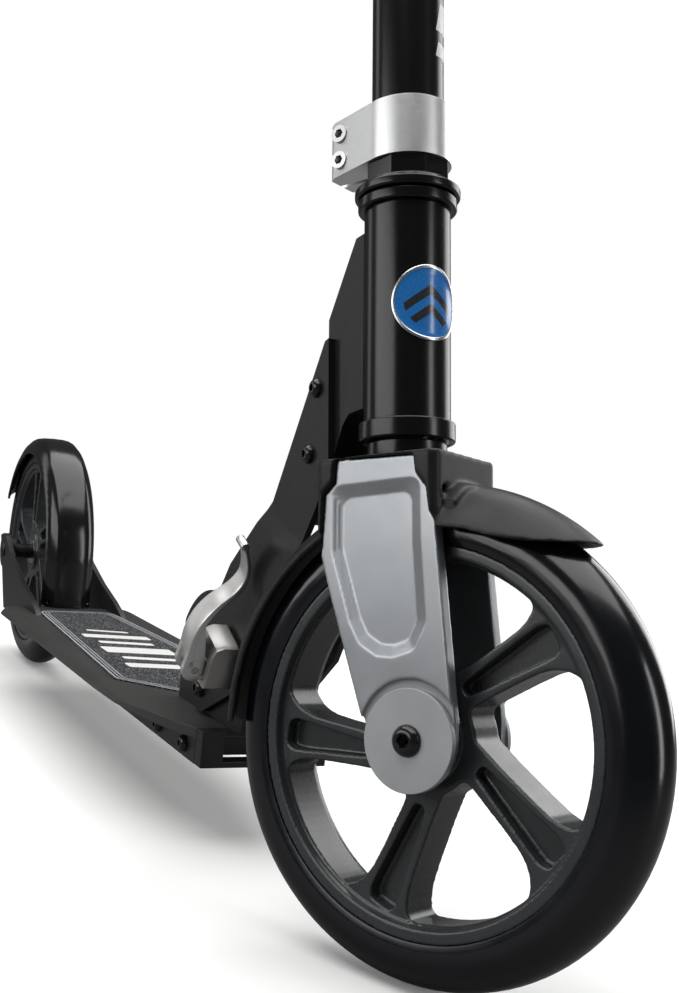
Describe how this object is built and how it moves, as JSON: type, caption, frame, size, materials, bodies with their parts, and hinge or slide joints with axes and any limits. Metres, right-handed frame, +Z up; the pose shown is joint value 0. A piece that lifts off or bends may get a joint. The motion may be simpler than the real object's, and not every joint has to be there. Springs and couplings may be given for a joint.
{
  "type": "kick scooter",
  "caption": "Folding two-wheel kick scooter with a grip-taped deck, quick-release neck, spoked wheels, front mudguard, rear fender brake and height-adjustable T handlebar.",
  "frame": {"origin": "centre of the footprint of the bounding box, on the ground under the wheels", "axes": "+X forward, +Y to the rider's left, +Z up"},
  "size_m": [0.8713, 0.3866, 0.9594],
  "materials": {
    "black_metal": "satin black paint",
    "deck_metal": "dark grey anodised",
    "leg_metal": "grey satin paint",
    "silver_metal": "brushed",
    "steel": "bright",
    "dark_steel": "black oxide",
    "rim_plastic": "fine texture",
    "guard_plastic": "fine texture",
    "fender_plastic": "satin",
    "tyre": "smooth urethane",
    "grip_tape": "gritty",
    "badge": "glossy print",
    "grip_rubber": "soft"
  },
  "bodies": {
    "deck": {"deck_channel": "deck_metal", "deck_panel": "deck_metal", "grip_tape": "grip_tape", "deck_nose": "deck_metal", "nose_screws": "dark_steel", "fold_bracket": "black_metal", "rear_arm_left": "black_metal", "rear_arm_right": "black_metal", "arm_screws": "dark_steel", "rear_axle": "steel", "rear_axle_nuts": "dark_steel", "rear_spacers": "steel", "brake_hinge_pin": "steel", "brake_spring": "steel"},
    "neck": {"head_tube": "black_metal", "neck_block": "black_metal", "neck_plate_left": "black_metal", "neck_plate_right": "black_metal", "neck_screws": "dark_steel", "head_badge": "badge", "lower_cup": "black_metal", "upper_cup": "black_metal", "headset_bearings": "steel", "qr_bolt": "steel", "qr_pin": "steel", "qr_saddle": "silver_metal", "qr_nut": "dark_steel", "fold_pivot_bolt": "dark_steel", "fold_pivot_nut": "dark_steel"},
    "fold_lever": {"qr_lever": "silver_metal"},
    "fork": {"crown_race": "black_metal", "adjusting_race": "black_metal", "locknut": "black_metal", "steerer_tube": "steel", "fork_crown": "black_metal", "fork_leg_left": "leg_metal", "fork_leg_right": "leg_metal", "leg_screws": "steel", "front_mudguard": "guard_plastic", "front_axle": "steel", "axle_discs": "leg_metal", "axle_bolts": "dark_steel", "front_spacers": "steel", "stem_tube": "black_metal", "clamp_collar": "silver_metal", "collar_screws": "steel", "height_clamp": "black_metal", "height_bolt": "steel"},
    "height_lever": {"height_lever": "silver_metal"},
    "handlebar": {"slide_tube": "silver_metal", "handlebar_tee": "black_metal", "crossbar": "black_metal", "grips": "grip_rubber"},
    "front_wheel": {"front_rim": "rim_plastic", "front_tyre": "tyre", "front_bearings": "steel"},
    "rear_wheel": {"rear_rim": "rim_plastic", "rear_tyre": "tyre", "rear_bearings": "steel"},
    "brake": {"brake_fender": "fender_plastic"}
  },
  "joints": [
    {"name": "neck_fold", "type": "hinge", "parent": "deck", "child": "neck", "pos_m": [0.14455, 0, 0.078], "axis": [0, 1, 0], "range_deg": [-79, 0]},
    {"name": "fold_lever_swing", "type": "hinge", "parent": "neck", "child": "fold_lever", "pos_m": [0.17855, -0.042, 0.0985], "axis": [0.9063, 0, -0.4226], "range_deg": [0, 100]},
    {"name": "steering", "type": "hinge", "parent": "neck", "child": "fork", "pos_m": [0.33084, 0, 0.09695], "axis": [-0.1908, 0, 0.9816], "range_deg": [-87, 33]},
    {"name": "front_wheel_spin", "type": "hinge", "parent": "fork", "child": "front_wheel", "pos_m": [0.34484, 0.00726, 0.09967], "axis": [-0.4456, 0.891, -0.0866], "continuous": true},
    {"name": "rear_wheel_spin", "type": "hinge", "parent": "deck", "child": "rear_wheel", "pos_m": [-0.33545, 0, 0.1], "axis": [0, 1, 0], "continuous": true},
    {"name": "brake_press", "type": "hinge", "parent": "deck", "child": "brake", "pos_m": [-0.23745, 0, 0.0684], "axis": [0, 1, 0], "range_deg": [-0.5, 0], "stiffness_Nm_per_rad": 60},
    {"name": "handlebar_slide", "type": "slide", "parent": "fork", "child": "handlebar", "axis": [-0.1908, 0, 0.9816], "range_m": [-0.2, 0]},
    {"name": "height_lever_swing", "type": "hinge", "parent": "fork", "child": "height_lever", "pos_m": [0.20499, -0.02758, 0.65926], "axis": [-0.1908, 0, 0.9816], "range_deg": [-110, 0]}
  ]
}
